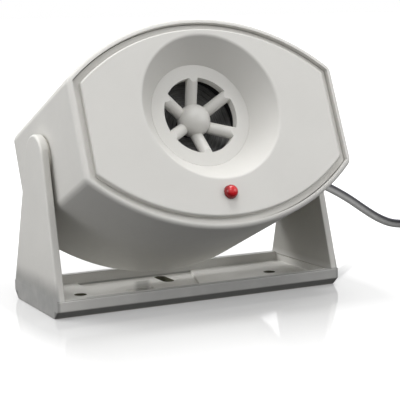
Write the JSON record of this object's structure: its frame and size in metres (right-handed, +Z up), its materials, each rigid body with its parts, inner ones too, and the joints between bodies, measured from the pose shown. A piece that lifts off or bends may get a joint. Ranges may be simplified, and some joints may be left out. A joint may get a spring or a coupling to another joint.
{
  "type": "alarm siren",
  "caption": "Compact horn siren in a barrel-shaped plastic head that tilts in a U-shaped bracket, with a status light and a low-voltage lead.",
  "frame": {"origin": "middle of the bracket's underside, on the surface that it stands on", "axes": "+X to the right seen from the front, along the bracket and the tilt axis; the face looks along -Y; +Z up"},
  "size_m": [0.2725, 0.1339, 0.1034],
  "materials": {
    "shell_plastic": "moulded off-white ABS with a fine matt texture",
    "grille_plastic": "moulded off-white ABS, slightly glossier than the shell",
    "washer_plastic": "pale self-lubricating plastic",
    "seal_rubber": "black foam rubber",
    "red_lens": "clear red epoxy",
    "dark_plastic": "black glass-filled plastic",
    "cone_paper": "black treated paper",
    "piezo_brass": "thin brass disc with a silvered ceramic",
    "screw_steel": "zinc-plated steel",
    "tinned_metal": "tinned copper",
    "wire_red": "thin red PVC insulation",
    "board_green": "green solder mask on glass-epoxy board",
    "chip_black": "black moulding compound",
    "can_blue": "dark blue shrink sleeve",
    "core_ferrite": "grey ferrite",
    "winding_copper": "enamelled copper wire",
    "sink_aluminium": "extruded aluminium",
    "resistor_body": "lacquered resistor body",
    "socket_nylon": "natural nylon",
    "cord_pvc": "dark grey PVC sheath, slightly satin",
    "plug_pvc": "black PVC overmould",
    "barrel_nickel": "nickel-plated brass"
  },
  "bodies": {
    "bracket": {"bracket": "shell_plastic", "friction_washers": "washer_plastic", "cord": "cord_pvc", "cord_coil": "cord_pvc", "cord_tail": "cord_pvc", "plug_relief": "plug_pvc", "plug_body": "plug_pvc", "plug_barrel": "barrel_nickel", "plug_core": "piezo_brass"},
    "head": {"rear_housing": "shell_plastic", "housing_seal": "seal_rubber", "front_panel": "shell_plastic", "grille": "grille_plastic", "status_light": "red_lens", "light_leads": "tinned_metal", "light_wires": "wire_red", "horn_driver_frame": "dark_plastic", "diaphragm": "cone_paper", "piezo_disc": "piezo_brass", "driver_cap": "dark_plastic", "driver_terminals": "tinned_metal", "driver_screws": "screw_steel", "driver_wires": "wire_red", "circuit_board": "board_green", "driver_chip": "chip_black", "capacitors": "can_blue", "transformer_core": "core_ferrite", "transformer_winding": "winding_copper", "power_transistor": "chip_black", "heat_sink": "sink_aluminium", "resistors": "resistor_body", "board_sockets": "socket_nylon", "board_screws": "screw_steel", "housing_screws": "screw_steel", "power_wires": "wire_red", "cord_clamp": "washer_plastic", "clamp_screws": "screw_steel", "strain_relief": "plug_pvc"}
  },
  "joints": [
    {"name": "head_tilt", "type": "hinge", "parent": "bracket", "child": "head", "pos_m": [0, 0, 0.0544], "axis": [-1, 0, 0], "range_deg": [-30, 35], "deforming": ["cord"]}
  ]
}
